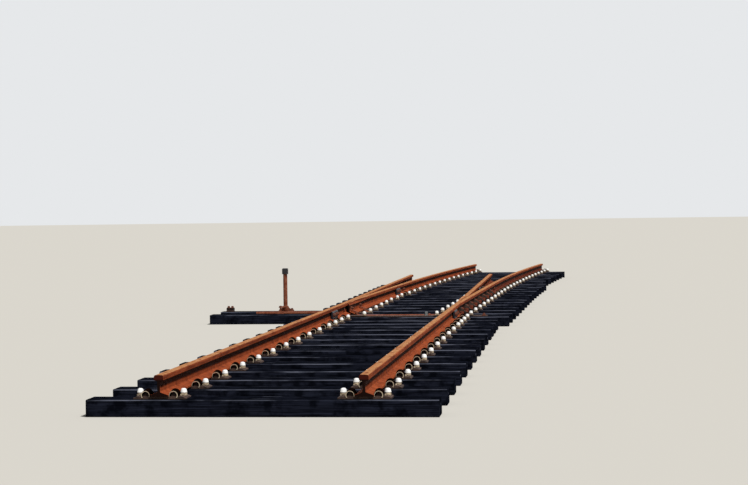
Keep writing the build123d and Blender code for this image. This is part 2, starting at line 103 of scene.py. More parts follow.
class FasteningSettings(bpy.types.PropertyGroup):
    """Sizes and colours of the clips, screws and bolts."""

    clip_diameter: length("Clip Diameter", 0.067, "Outer diameter of the curled spring clip")
    clip_thickness: length("Clip Thickness", 0.009, "Greatest thickness of the clip's strip")
    clip_width: length("Clip Width", 0.088, "Width of the clip along the rail")
    clip_rise: length("Clip Rise", 0.008, "How much higher a clip's back end stands than its front end")
    clip_offset: length("Clip Offset", 0.105, "Distance of a clip's middle from the rail's centre")
    clip_lift: length("Clip Lift", 0.009, "Height of a clip's middle above the rail's seat")
    clip_ahead: length("Clip Ahead", 0.049, "How far a clip stands before the middle of its plate")
    screw_offset: length("Screw Offset", 0.162, "Distance of a chair screw from the rail's centre")
    slide_screw: length("Slide Screw Offset", 0.281, "Distance of a slide plate's inner screw")
    heel_screw: length("Heel Screw Offset", 0.307, "The same on the last two slide plates")
    cap_diameter: length("Cap Diameter", 0.048, "Diameter of the screw's cap")
    cap_height: length("Cap Height", 0.033, "Height of the screw's cap")
    boss_diameter: length("Boss Diameter", 0.050, "Width of the ferrule under a cap")
    boss_height: length("Boss Height", 0.020, "Height of the ferrule under a cap")
    bolt_across: length("Bolt Across Corners", 0.044, "Width of a bolt's head or nut across its corners")
    bolt_head: length("Bolt Head", 0.017, "Thickness of a bolt's head")
    bolt_nut: length("Nut", 0.024, "Thickness of a nut")
    bolt_diameter: length("Bolt Diameter", 0.025, "Diameter of a bolt's shank")
    cap: colour("Cap", "#fbfaf6", "Moulded cap")
    ferrule: colour("Ferrule", "#d3bf9f", "Cast ferrule under the cap")
    clip: colour("Clip", "#050404", "Spring steel, oily and dark on its outer side")
    # Partly bare dusty steel, partly a painted highlight on the clips' cut ends
    clip_end_dust_and_highlight: colour("Clip Edge", "#bfae95", "Spring steel, bare and dusty on its cut ends")
    bolt: colour("Bolt", "#5a4034", "Bolt heads and nuts")


class FinishSettings(bpy.types.PropertyGroup):
    """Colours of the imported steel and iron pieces."""

    rust: colour("Rust", "#9f4d2a", "Dry rust on webs and feet")
    rust_dark: colour("Dark Rust", "#6b2f1a", "Damp rust in hollows")
    rust_light: colour("Light Rust", "#aa6f45", "Dusty rust on the head's top")
    # Painted shadow in the band under the rails' heads; also the black of the rails' cut ends under the
    # head, the clips' mottling and the plates just above the seat
    rust_black_and_shadow: colour("Black Rust", "#160805", "Damp black scale under the head")
    rust_burnt: colour("Burnt Rust", "#3f140c", "Cut end of a rail's head")
    rust_pale: colour("Pale Rust", "#c08d60", "Dust and bare scale on the head's edges")
    cast: colour("Cast Iron", "#55423a", "Rusty cast plates")
    cast_dark: colour("Dark Cast Iron", "#2a211e", "Oily cast plates")
    oiled: colour("Oiled Steel", "#12151f", "Fishplates, oiled")
    rod: colour("Rod Steel", "#8f5842", "Rusted rods and spindle")
    paint: colour("Black Paint", "#0d0d10", "Spindle head")
    zinc: colour("Zinc", "#9b9f9d", "Galvanised clamp")


class StageSettings(bpy.types.PropertyGroup):
    """Floor, light and camera."""

    floor: colour("Floor", "#cdc9c0", "Plain floor")
    sky: colour("Backdrop", "#e6e8ea", "Plain backdrop")
    sun: bpy.props.FloatProperty(
        name="Key Light", description="Strength of the soft key light", default=3.6
    )
    fill: bpy.props.FloatProperty(
        name="Fill Light", description="Strength of the world's light", default=0.22
    )
    sun_angle: bpy.props.FloatProperty(
        name="Key Softness", description="Apparent size of the key light", subtype="ANGLE",
        default=math.radians(6)
    )


# Plan of the rails
def forward(angle):
    """Unit step along a heading."""
    return np.array([math.sin(angle), math.cos(angle)])


def across(angle):
    """Unit step to the right of a heading."""
    return np.array([math.cos(angle), -math.sin(angle)])


def on_road(angle, distance, offset):
    """Point on a straight road at a distance from the set, offset to its right."""
    return np.array([0.0, SET_Y]) + forward(angle) * distance + across(angle) * offset


def bent(start, end, offset):
    """Point where a rail turns from one heading to another at the set."""
    return np.array([0.0, SET_Y]) + across((start + end) / 2) * (offset / math.cos((end - start) / 2))


def closure(offset):
    """Short straight runs that touch the curve beyond the blades, with both its ends."""
    heel = on_road(THROUGH_ANGLE, HEEL_FROM_SET, 0.0)
    centre = heel + across(THROUGH_ANGLE) * CURVE_RADIUS
    swing = math.asin((FAR_Y - centre[1]) / CURVE_RADIUS) - THROUGH_ANGLE
    bend = swing / CURVE_BENDS
    radius = CURVE_RADIUS - offset
    points = [centre - across(THROUGH_ANGLE) * radius]
    for i in range(CURVE_BENDS):
        points.append(centre - across(THROUGH_ANGLE + (i + 0.5) * bend) * (radius / math.cos(bend / 2)))
    points.append(centre - across(THROUGH_ANGLE + swing) * radius)
    return points


left_bends = closure(-RAIL_OFFSET)
right_bends = closure(RAIL_OFFSET)
rail_lines = {
    "left_stock": [
        (-RAIL_OFFSET, FRONT_Y),
        bent(0, TRAP_ANGLE, -RAIL_OFFSET),
        on_road(TRAP_ANGLE, TRAP_END_FROM_SET, -RAIL_OFFSET),
    ],
    "right_stock": [
        (RAIL_OFFSET, FRONT_Y),
        bent(0, THROUGH_ANGLE, RAIL_OFFSET),
        *right_bends[1:],
    ],
    "left_through": left_bends,
    "right_trap": [
        on_road(TRAP_ANGLE, HEEL_FROM_SET, RAIL_OFFSET),
        on_road(TRAP_ANGLE, TRAP_END_FROM_SET, RAIL_OFFSET),
    ],
}
rail_lines = {name: np.array(points) for name, points in rail_lines.items()}


def rail_at(name, y):
    """Place and heading of a rail's centre line at rows y, as arrays."""
    line = rail_lines[name]
    y = np.asarray(y, float)
    run = np.clip(np.searchsorted(line[:, 1], y) - 1, 0, len(line) - 2)
    step = line[run + 1] - line[run]
    heading = np.arctan2(step[..., 0], step[..., 1])
    x = line[run, 0] + (y - line[run, 1]) * np.tan(heading)
    return x, heading


# Meshes
def set_down(points, origins, headings):
    """Copies of a shape: each is turned clockwise in plan by its heading and moved to its origin."""
    cos, sin = np.cos(headings)[:, None], np.sin(headings)[:, None]
    x, y, z = points[:, 0], points[:, 1], points[:, 2]
    return np.stack([
        origins[:, 0, None] + x * cos + y * sin,
        origins[:, 1, None] - x * sin + y * cos,
        origins[:, 2, None] + z + 0 * cos,
    ], axis=-1)


def stamp(shape, origins, headings):
    """One joined mesh of copies of a shape, given as points and faces."""
    points, faces = shape
    origins = np.asarray(origins, float)
    headings = np.asarray(headings, float)
    placed = set_down(points, origins, headings)
    steps = np.arange(len(origins))[:, None, None] * len(points)
    return placed.reshape(-1, 3), (faces[None] + steps).reshape(-1, faces.shape[1])


def joined(*shapes):
    """Several shapes as one; triangles are written as quads with a repeated corner."""
    points = []
    faces = []
    start = 0
    for shape_points, shape_faces in shapes:
        points.append(shape_points)
        faces.append(shape_faces + start)
        start += len(shape_points)
    return np.concatenate(points), np.concatenate(faces)


def grid_faces(rows, columns, closed=True):
    """Quads of a grid of points, its columns running round and closed on the first."""
    r, c = np.meshgrid(np.arange(rows - 1), np.arange(columns if closed else columns - 1), indexing="ij")
    after = (c + 1) % columns
    quads = [r * columns + c, r * columns + after, (r + 1) * columns + after, (r + 1) * columns + c]
    return np.stack(quads, axis=-1).reshape(-1, 4)


def tube(rings):
    """Closed surface from rings of points: a grid round them, with a middle point at each end."""
    rows, columns = rings.shape[:2]
    points = rings.reshape(-1, 3)
    faces = grid_faces(rows, columns)
    first, last = len(points), len(points) + 1
    points = np.concatenate([points, rings[:1].mean(axis=1), rings[-1:].mean(axis=1)])
    c = np.arange(columns)
    after = (c + 1) % columns
    low = np.stack([after, c, np.full(columns, first), np.full(columns, first)], axis=-1)
    top = (rows - 1) * columns
    high = np.stack([top + c, top + after, np.full(columns, last), np.full(columns, last)], axis=-1)
    return points, np.concatenate([faces, low, high])


def piece(name, shape, body, material, sharp=35.0):
    """Mesh object at the origin from points and faces, riding on a body.

    Edges that turn by more than the sharp angle, in degrees, stay crisp.
    """
    points, faces = shape
    faces = np.asarray(faces)
    triangle = faces[:, 2] == faces[:, 3]
    sizes = np.where(triangle, 3, 4)
    keep = np.ones(faces.shape, bool)
    keep[triangle, 3] = False
    corners = faces[keep]
    starts = np.concatenate([[0], np.cumsum(sizes)[:-1]])
    mesh = bpy.data.meshes.new(name)
    mesh.vertices.add(len(points))
    mesh.vertices.foreach_set("co", np.asarray(points, np.float32).ravel())
    mesh.loops.add(len(corners))
    mesh.loops.foreach_set("vertex_index", corners.astype(np.int32))
    mesh.polygons.add(len(faces))
    mesh.polygons.foreach_set("loop_start", starts.astype(np.int32))
    mesh.update(calc_edges=True)
    mesh.validate()
    mesh.shade_smooth()
    mesh.set_sharp_from_angle(angle=math.radians(sharp))
    obj = bpy.data.objects.new(name, mesh)
    bpy.context.scene.collection.objects.link(obj)
    mesh.materials.append(material)
    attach(obj, body)
    return obj


def turned_shape(profile, sides, phase=0.0):
    """Surface of revolution about Z: profile holds radius and height from bottom to top."""
    angle = np.arange(sides) / sides * math.tau + phase
    profile = np.asarray(profile, float)
    rings = np.stack([
        profile[:, 0, None] * np.cos(angle),
        profile[:, 0, None] * np.sin(angle),
        profile[:, 1, None] + 0 * angle,
    ], axis=-1)
    return tube(rings)


def along_x(shape):
    """A shape made along Z, laid along +X."""
    points, faces = shape
    return points[:, [2, 1, 0]] * np.array([1, 1, -1]), faces


def mirrored_x(shape):
    """A shape mirrored left to right, with its faces turned back outwards."""
    points, faces = shape
    triangle = (faces[:, 2] == faces[:, 3])[:, None]
    flipped = np.where(triangle, faces[:, [1, 0, 2, 3]], faces[:, ::-1])
    return points * np.array([-1, 1, 1]), flipped


def moved(shape, *step):
    """A shape moved by a step in X, Y and Z."""
    points, faces = shape
    return points + np.array(step), faces


def resized(shape, scale):
    """A shape grown or shrunk about the origin."""
    points, faces = shape
    return points * scale, faces


# Materials. Heights and places in metres, in pairs from where a mask starts to where it is full
HEAD_RISE = (RAIL_SEAT + 0.118, RAIL_SEAT + 0.130)
# Band of painted shadow on the web under the rail's head
SHADOW_BAND_FOOT = (RAIL_SEAT + 0.062, RAIL_SEAT + 0.078)
SHADOW_BAND_TOP = (RAIL_SEAT + 0.122, RAIL_SEAT + 0.117)
DARKER_FROM_LEFT = (0.5, 0.7)
DARKER_FROM_FRONT = (-0.6, -0.1)
LUG_FOOT = (RAIL_SEAT + 0.001, RAIL_SEAT + 0.006)
LUG_TOP = (RAIL_SEAT + 0.040, RAIL_SEAT + 0.030)
CAP_DIRT = (RAIL_SEAT + 0.034, RAIL_SEAT + 0.020)

# Brightness of the dullest spangle beside the brightest
DULL_SPANGLE = 0.62


def add(nodes, kind, *values, named=(), **settings):
    """Add a node with its own settings, and fill its inputs in order or by name.

    A value is a number, a vector or a colour, or else a node or one of its outputs, which is linked.
    """
    node = nodes.new("ShaderNode" + kind)
    for key, value in settings.items():
        setattr(node, key, value)
    inputs = [socket for socket in node.inputs if socket.enabled]
    chosen = [(node.inputs[key], value) for key, value in dict(named).items()]
    for socket, value in [*zip(inputs, values), *chosen]:
        if isinstance(value, bpy.types.Node):
            value = next(output for output in value.outputs if output.enabled)
        if isinstance(value, bpy.types.NodeSocket):
            nodes.id_data.links.new(value, socket)
        else:
            socket.default_value = value
    return node


def new_material(name):
    """Empty material, with its nodes and the object's own coordinates for its patterns."""
    material = bpy.data.materials.new(name)
    material.use_nodes = True
    nodes = material.node_tree.nodes
    nodes.clear()
    place = add(nodes, "TexCoord").outputs["Object"]
    return material, nodes, place


def finish_material(nodes, base, relief, roughness, depth, strength, fixed=()):
    """Surface whose colour, roughness and bump come from nodes, with its fixed values by name."""
    bump = add(nodes, "Bump", named={"Height": relief, "Strength": strength, "Distance": depth})
    surface = add(
        nodes, "BsdfPrincipled",
        named={"Base Color": base, "Roughness": roughness, "Normal": bump, **dict(fixed)},
    )
    add(nodes, "OutputMaterial", surface)


def facing(nodes, axis):
    """Part of the surface's own normal along an axis."""
    normal = add(nodes, "NewGeometry").outputs["Normal"]
    return add(nodes, "SeparateXYZ", normal).outputs[axis]


def cut_ends(nodes):
    """Mask of the faces that look along the track, either way."""
    along = add(nodes, "Math", facing(nodes, "Y"), operation="ABSOLUTE")
    return add(nodes, "MapRange", along, 0.6, 0.9)


def creosoted_timber(settings):
    """Softwood, sawn and creosoted: near black, dull, with grey grain where the top has worn."""
    material, nodes, place = new_material("creosoted_timber")
    stretched = add(nodes, "Mapping", place, named={"Scale": (0.03, 1, 1)})
    grain = add(nodes, "TexNoise", stretched, 90.0, 6.0, 0.65)  # grain lines about 11 mm apart
    stretched = add(nodes, "Mapping", place, named={"Scale": (0.02, 1, 1)})
    fibre = add(nodes, "TexNoise", stretched, 320.0, 3.0, 0.6)  # fibres about 3 mm apart
    stretched = add(nodes, "Mapping", place, named={"Scale": (0.4, 1, 1)})
    patches = add(nodes, "TexNoise", stretched, 4.5, 5.0, 0.6)  # stains about 220 by 550 mm
    tar = add(nodes, "TexNoise", place, 9.0, 4.0, 0.6)  # thick tar in runs about 110 mm wide

    # The top, and its rounded edges alone
    upward = facing(nodes, "Z")
    top = add(nodes, "MapRange", upward, 0.35, 0.9)
    turned_up = add(nodes, "MapRange", upward, 0.15, 0.45)
    not_level = add(nodes, "MapRange", upward, 0.99, 0.85)
    edge = add(nodes, "Math", turned_up, not_level, operation="MULTIPLY")

    # Creosote, worn along the grain where no tar lies over it, and darker on the top
    thin_tar = add(nodes, "MapRange", tar, 0.40, 0.56, 0.15, 1.0)
    worn_grain = add(nodes, "MapRange", grain, 0.35, 0.65)
    worn = add(nodes, "Math", worn_grain, thin_tar, operation="MULTIPLY")
    base = add(nodes, "Mix", worn, settings.dark, settings.worn, data_type="RGBA")
    showing = add(nodes, "MapRange", top, 0.0, 1.0, 1.0, 0.6)
    base = add(nodes, "Mix", showing, settings.dark, base, data_type="RGBA")

    # Bare silvered fibres in patches of the top; painted highlight, with rubbed wear, on the rounded top
    # edges
    bare = add(nodes, "MapRange", patches, 0.54, 0.72)
    bare = add(nodes, "Math", bare, top, operation="MULTIPLY")
    fibres = add(nodes, "MapRange", fibre, 0.48, 0.68)
    fibres = add(nodes, "Math", fibres, bare, operation="MULTIPLY")
    fibres = add(nodes, "Math", fibres, 0.8, operation="MULTIPLY")
    highlight_patches = add(nodes, "MapRange", patches, 0.42, 0.58, 0.05, 1.0)
    rubbed_and_highlight = add(nodes, "Math", edge, highlight_patches, operation="MULTIPLY")
    for mask in (fibres, rubbed_and_highlight):
        base = add(nodes, "Mix", mask, base, settings.grey_and_edge_highlight, data_type="RGBA")

    fine = add(nodes, "Math", fibre, 0.4, operation="MULTIPLY")
    relief = add(nodes, "Math", grain, fine, operation="ADD")
    roughness = add(nodes, "MapRange", grain, 0.3, 0.8, 0.75, 0.95)
    finish_material(nodes, base, relief, roughness, 0.003, 0.8, {"Specular IOR Level": 0.0})
    return material


def rusted_rail(settings):
    """Rolled carbon steel, rusted right over: dry orange with darker blooms, dusty on the head.

    A band of painted shadow runs black on the web under the head, the cut ends are burnt, and the
    right rail is darker from just before the blades on.
    """
    material, nodes, place = new_material("rusted_rail_steel")
    blooms = add(nodes, "TexNoise", place, 14.0, 6.0, 0.65)  # blooms about 70 mm across
    stretched = add(nodes, "Mapping", place, named={"Scale": (1, 0.08, 1)})
    streak = add(nodes, "TexNoise", stretched, 30.0, 4.0, 0.6)  # rolling streaks, 33 by 400 mm
    grit = add(nodes, "TexNoise", place, 420.0, 3.0, 0.7)  # rust scale about 2.5 mm across
    stretched = add(nodes, "Mapping", place, named={"Scale": (1, 0.25, 1)})
    pits = add(nodes, "TexNoise", stretched, 26.0, 4.0, 0.6)  # pitting about 40 by 150 mm

    parts = add(nodes, "SeparateXYZ", place)
    level = parts.outputs["Z"]
    head = add(nodes, "MapRange", level, *HEAD_RISE)
    # The right rail's web and foot are darker from just before the blades on
    darker_side = add(nodes, "MapRange", parts.outputs["X"], *DARKER_FROM_LEFT, 0.0, 0.75)
    darker_length = add(nodes, "MapRange", parts.outputs["Y"], *DARKER_FROM_FRONT)
    darker_right = add(nodes, "Math", darker_side, darker_length, operation="MULTIPLY")
    # Painted shadow: a black band on the web under the head, where the head's shadow falls
    over_foot = add(nodes, "MapRange", level, *SHADOW_BAND_FOOT, 0.0, 0.93)
    under_top = add(nodes, "MapRange", level, *SHADOW_BAND_TOP)
    band = add(nodes, "Math", over_foot, under_top, operation="MULTIPLY")

    streaks = add(nodes, "MapRange", streak, 0.42, 0.7)
    side = add(nodes, "Mix", streaks, settings.rust_dark, settings.rust, data_type="RGBA")
    dusty = settings.rust_light
    for mask, coat in (
        (add(nodes, "MapRange", blooms, 0.38, 0.68), settings.rust_pale),
        (add(nodes, "MapRange", streak, 0.52, 0.72, 0.0, 0.55), settings.rust),
        (add(nodes, "MapRange", pits, 0.52, 0.66, 0.0, 0.75), settings.rust_dark),
    ):
        dusty = add(nodes, "Mix", mask, dusty, coat, data_type="RGBA")
    crown = add(nodes, "MapRange", facing(nodes, "Z"), 0.5, 0.95)
    top = add(nodes, "Mix", crown, side, dusty, data_type="RGBA")
    burnt = add(nodes, "Mix", head, settings.rust_black_and_shadow, settings.rust_burnt, data_type="RGBA")

    base = settings.rust
    for mask, coat in (
        (add(nodes, "MapRange", blooms, 0.36, 0.66), settings.rust_dark),
        (add(nodes, "MapRange", streak, 0.45, 0.7, 0.0, 0.6), settings.rust),
        (darker_right, settings.rust_burnt),
        (band, settings.rust_black_and_shadow),
        (head, top),
        (add(nodes, "MapRange", grit, 0.58, 0.8, 0.0, 0.45), settings.rust_dark),
        (cut_ends(nodes), burnt),
    ):
        base = add(nodes, "Mix", mask, base, coat, data_type="RGBA")

    swelling = add(nodes, "Math", blooms, 1.5, operation="MULTIPLY")
    relief = add(nodes, "Math", grit, swelling, operation="ADD")
    roughness = add(nodes, "MapRange", grit, 0.3, 0.8, 0.75, 0.95)
    finish_material(nodes, base, relief, roughness, 0.0012, 0.7, {"Specular IOR Level": 0.06})
    return material


def rusted_casting(
    name, light, dark, grain=260.0, roughness=(0.65, 0.9), ends=None, seat_coat=None, gloss=0.15
):
    """Sand-cast or forged iron under a thin rust: mottled, matt, with a sandy skin.

    The faces that look along the track take the colour of the ends, if there is one: on the clips
    this is a painted highlight over dusty cut steel. What stands just above the rail's seat takes
    the darker seat coat, if there is one.
    """
    material, nodes, place = new_material(name)
    mottle = add(nodes, "TexNoise", place, 22.0, 5.0, 0.6)  # mottling about 45 mm across
    skin = add(nodes, "TexNoise", place, grain, 3.0, 0.7)  # sandy skin, 2 to 4 mm across
    coats = [(add(nodes, "MapRange", mottle, 0.38, 0.66), dark)]
    if seat_coat is not None:
        # Darker from just above the rail's seat up to the lugs' top
        level = add(nodes, "SeparateXYZ", place).outputs["Z"]
        over_seat = add(nodes, "MapRange", level, *LUG_FOOT, 0.0, 0.9)
        under_top = add(nodes, "MapRange", level, *LUG_TOP)
        coats.append((add(nodes, "Math", over_seat, under_top, operation="MULTIPLY"), seat_coat))
    # On the clips: painted highlight over bare dusty steel on the cut ends
    if ends is not None:
        coats.append((cut_ends(nodes), ends))
    coats.append((add(nodes, "MapRange", skin, 0.58, 0.8, 0.0, 0.5), dark))
    base = light
    for mask, coat in coats:
        base = add(nodes, "Mix", mask, base, coat, data_type="RGBA")
    matt = add(nodes, "MapRange", skin, 0.3, 0.8, *roughness)
    finish_material(nodes, base, skin, matt, 0.001, 0.6, {"Specular IOR Level": gloss})
    return material


def oiled_steel(settings):
    """Rolled steel under old oil: blue-black, with a low sheen, and rusty in patches."""
    material, nodes, place = new_material("oiled_steel")
    film = add(nodes, "TexNoise", place, 16.0, 4.0, 0.55)  # oil film in patches about 60 mm across
    grit = add(nodes, "TexNoise", place, 380.0, 3.0, 0.7)  # grit in the oil about 2.5 mm across
    dried = add(nodes, "MapRange", film, 0.60, 0.75, 0.0, 0.3)
    base = add(nodes, "Mix", dried, settings.oiled, settings.rust_dark, data_type="RGBA")
    roughness = add(nodes, "MapRange", film, 0.3, 0.7, 0.42, 0.65)
    finish_material(nodes, base, grit, roughness, 0.0008, 0.5, {"Metallic": 0.1})
    return material


def moulded_nylon(settings):
    """Moulded white nylon, chalky from the weather, with dirt at its foot."""
    material, nodes, place = new_material("moulded_nylon")
    chalk = add(nodes, "TexNoise", place, 130.0, 3.0, 0.55)  # chalking about 8 mm across
    level = add(nodes, "SeparateXYZ", place).outputs["Z"]
    foot = add(nodes, "MapRange", level, *CAP_DIRT)
    patchy = add(nodes, "MapRange", chalk, 0.35, 0.7)
    dirt = add(nodes, "Math", foot, patchy, operation="MULTIPLY")
    dirt = add(nodes, "Math", dirt, 0.7, operation="MULTIPLY")
    base = add(nodes, "Mix", dirt, settings.cap, settings.ferrule, data_type="RGBA")
    roughness = add(nodes, "MapRange", chalk, 0.3, 0.7, 0.42, 0.6)
    finish_material(nodes, base, chalk, roughness, 0.0004, 0.4)
    return material


def painted_black(settings):
    """Black gloss paint gone matt, rust showing through in spots."""
    material, nodes, place = new_material("black_gloss_paint")
    spots = add(nodes, "TexNoise", place, 70.0, 5.0, 0.7)  # rust spots about 14 mm across
    flaked = add(nodes, "MapRange", spots, 0.62, 0.72)
    base = add(nodes, "Mix", flaked, settings.paint, settings.rust_dark, data_type="RGBA")
    roughness = add(nodes, "MapRange", spots, 0.4, 0.7, 0.42, 0.8)
    finish_material(nodes, base, spots, roughness, 0.0008, 0.5)
    return material


def galvanised(settings):
    """Hot-dip zinc: pale grey with dull spangle."""
    material, nodes, place = new_material("galvanised_steel")
    spangle = add(nodes, "TexVoronoi", place, 90.0).outputs["Color"]  # spangle about 11 mm across
    tone = add(nodes, "SeparateColor", spangle)
    dull = tuple(part * DULL_SPANGLE for part in settings.zinc[:3]) + (1.0,)
    base = add(nodes, "Mix", tone, settings.zinc, dull, data_type="RGBA")
    roughness = add(nodes, "MapRange", tone, 0, 1, 0.4, 0.6)
    finish_material(nodes, base, tone, roughness, 0.0004, 0.3, {"Metallic": 0.6})
    return material


materials = {}


def material_for(key):
    """The named finish, made once."""
    if key not in materials:
        scene = bpy.context.scene
        fast, finish = scene.trap_fastenings, scene.trap_finishes
        makers = {
            "timber": lambda: creosoted_timber(scene.trap_timbers),
            "rail": lambda: rusted_rail(finish),
            "plate": lambda: rusted_casting(
                "cast_iron", finish.cast, finish.cast_dark, seat_coat=finish.rust_black_and_shadow
            ),
            "ferrule": lambda: rusted_casting(
                "cast_ferrule", fast.ferrule, finish.cast, grain=340.0
            ),
            "clip": lambda: rusted_casting(
                "spring_steel", fast.clip, finish.rust_black_and_shadow, grain=420.0, roughness=(0.6, 0.85),
                ends=fast.clip_end_dust_and_highlight, gloss=0.0
            ),
            "bolt": lambda: rusted_casting(
                "forged_bolt", fast.bolt, finish.rust_dark, grain=420.0
            ),
            "rod": lambda: rusted_casting("forged_rod", finish.rod, finish.rust_dark, grain=300.0),
            "oiled": lambda: oiled_steel(finish),
            "cap": lambda: moulded_nylon(fast),
            "paint": lambda: painted_black(finish),
            "zinc": lambda: galvanised(finish),
        }
        materials[key] = makers[key]()
    return materials[key]


# Timbers: how finely each is divided
TOP_COLUMNS = 16
SIDE_COLUMNS = 5
BOTTOM_COLUMNS = 6
ARC_STEPS = 3
SLICES = 64
END_RINGS = 4
SMALLEST_RING = 0.15
SAME_ROW = 0.001

# Drying cracks and wear of a timber, in metres, and the share of its top that cracks
SHAKES = 3
SHAKE_BAND = 0.85
SHAKE_PLACE = (0.2, 0.8)
SHAKE_MARGIN = 0.2
SHAKE_REACH = (0.25, 0.9)
END_SHAKE_REACH = 0.6
SHAKE_WANDER = 0.003
WANDER_RATE = 7
WAVE_RATES = (0.5, 1.6)
EDGE_ACROSS = 0.02
EDGE_DOWN = 0.03
CHECK_DEPTH = 0.008
END_HOLLOW = 0.0015
TIMBER_SEED = 11


def timber_boxes(node):
    """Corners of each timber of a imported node: left, right, near and far."""
    mesh = frame["nodes"][node].data
    points = np.empty(len(mesh.vertices) * 3, np.float32)
    mesh.vertices.foreach_get("co", points)
    points = points.reshape(-1, 3).astype(float)
    rows = np.unique(np.round(points[:, 1], 4))
    boxes = []
    for near, far in rows.reshape(-1, 2):
        own = points[np.abs(points[:, 1] - near) < SAME_ROW]
        boxes.append((own[:, 0].min(), own[:, 0].max(), near, far))
    return boxes


def waves(random, s, t, count, s_scale, t_scale):
    """Smooth noise from 0 to 1: sines over s and t together, with random rates and phases, summed."""
    total = np.zeros(np.broadcast(s, t).shape)
    for _ in range(count):
        a, b = random.uniform(*WAVE_RATES, 2)
        total += np.sin(math.tau * (a * s / s_scale + b * t / t_scale) + random.uniform(0, math.tau))
    return 0.5 + 0.5 * total / count


def worn_timber(box, settings, random):
    """Sawn timber along X.

    The section is a rectangle with rounded edges, walked right round. Each point is carried along
    the length and drawn in by hollows, by wear at the top edges and by drying cracks in the top,
    whose depth is a parabola along the crack. The ends are the same section shrunk to the middle,
    a little hollow, with three radial checks drawn inwards.
    """
    left, right, near, far = box
    half = (far - near) / 2
    radius = settings.edge_radius
    flat = half - radius
    even = np.linspace(-flat, flat, TOP_COLUMNS)
    # Each crack lies at random in its own share of the band, clear of the next one's
    band = SHAKE_BAND * flat
    centres = (np.arange(SHAKES) + random.uniform(*SHAKE_PLACE, SHAKES)) / SHAKES * 2 * band - band
    lips = settings.shake_width / 2
    shake_points = np.concatenate([centres - lips, centres, centres + lips])
    top_y = np.concatenate([even, shake_points])
    deepest = np.concatenate([np.zeros(TOP_COLUMNS + SHAKES), np.ones(SHAKES), np.zeros(SHAKES)])
    owner = np.concatenate([np.full(TOP_COLUMNS, -1), np.tile(np.arange(SHAKES), 3)])
    order = np.argsort(-top_y)
    top_y, deepest, owner = top_y[order], deepest[order], owner[order]

    arc = np.linspace(0, math.pi / 2, ARC_STEPS + 2)[1:-1]
    high, low = TIMBER_TOP - radius, radius
    side_z = np.linspace(high, low, SIDE_COLUMNS)
    bottom_y = np.linspace(-flat, flat, BOTTOM_COLUMNS)
    y = np.concatenate([
        top_y,
        -flat - radius * np.sin(arc), np.full(SIDE_COLUMNS, -half), -flat - radius * np.cos(arc),
        bottom_y,
        flat + radius * np.sin(arc), np.full(SIDE_COLUMNS, half), flat + radius * np.cos(arc),
    ])
    z = np.concatenate([
        np.full(len(top_y), TIMBER_TOP),
        high + radius * np.cos(arc), side_z, low - radius * np.sin(arc),
        np.zeros(BOTTOM_COLUMNS),
        low - radius * np.cos(arc), side_z[::-1], high + radius * np.sin(arc),
    ])
    columns = len(y)
    extra = columns - len(top_y)
    deepest = np.concatenate([deepest, np.zeros(extra)])
    owner = np.concatenate([owner, np.full(extra, -1)])
    top_edge = np.exp(-((np.abs(y) - half) / EDGE_ACROSS) ** 2 - ((z - TIMBER_TOP) / EDGE_DOWN) ** 2)

    x = np.linspace(left, right, SLICES)[:, None]
    girth = np.arange(columns)[None] / columns
    hollow = waves(random, x, girth, count=6, s_scale=0.45, t_scale=0.35) * settings.waviness
    wear = waves(random, x, girth, count=5, s_scale=0.8, t_scale=0.5)
    wane = wear ** 3 * settings.wane * top_edge
    middle = random.uniform(left + SHAKE_MARGIN, right - SHAKE_MARGIN, SHAKES)
    reach = random.uniform(*SHAKE_REACH, SHAKES)
    reach[0] = END_SHAKE_REACH
    middle[0] = left if random.random() < 0.5 else right
    fade = np.clip(1 - ((x - middle) / reach) ** 2, 0, None)
    depth = np.where(owner >= 0, fade[:, owner.clip(0)], 0) * deepest * settings.shake_depth
    wander = np.sin(x * WANDER_RATE + random.uniform(0, math.tau)) * SHAKE_WANDER
    draw = hollow + wane
    on_top = (np.arange(columns) < len(top_y))[None]
    ring_y = y + np.where(on_top, np.where(owner >= 0, wander, 0), -draw * np.sign(y))
    ring_z = z + np.where(on_top, -draw - depth, np.where(z > TIMBER_TOP / 2, -draw, 0))
    middle_y = (near + far) / 2
    body = np.stack([x + 0 * ring_y, middle_y + ring_y, ring_z], axis=-1)

    shrink = np.linspace(SMALLEST_RING, 1.0, END_RINGS, endpoint=False)
    checks = (int(random.integers(columns)) + np.array([0, columns // 3, columns * 3 // 5])) % columns
    crack = np.zeros(columns)
    crack[checks] = CHECK_DEPTH
    ends = []
    for ring, direction in ((body[0], 1), (body[-1], -1)):
        centre = ring.mean(axis=0)
        rings = centre + (ring - centre) * shrink[:, None, None]
        rings[:, :, 0] = ring[:, 0] + direction * (crack + END_HOLLOW * (1 - shrink[:, None]))
        ends.append(rings)
    return tube(np.concatenate([ends[0], body, ends[1][::-1]]))


class TRAP_OT_worn_timbers(bpy.types.Operator):
    """Make the sawn, creosoted timbers under the rails"""

    bl_idname = "trap.worn_timbers"
    bl_label = "Worn Timbers"

    def execute(self, context):
        settings = context.scene.trap_timbers
        random = np.random.default_rng(TIMBER_SEED)
        groups = (
            "plain_sleepers", "joint_sleepers", "toe_timber", "long_toe_timbers",
            "slide_timbers", "heel_timbers", "trap_timbers", "far_sleepers",
        )
        for node in groups:
            shapes = [worn_timber(box, settings, random) for box in timber_boxes(node)]
            obj = piece(f"worn_{node}", joined(*shapes), "panel",
                        material_for("timber"), sharp=50)
            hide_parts(node)
        return {"FINISHED"}


# Rows of fastenings
def row_centres(*nodes):
    """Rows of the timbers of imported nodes, in metres."""
    return np.array([(near + far) / 2 for node in nodes for _, _, near, far in timber_boxes(node)])


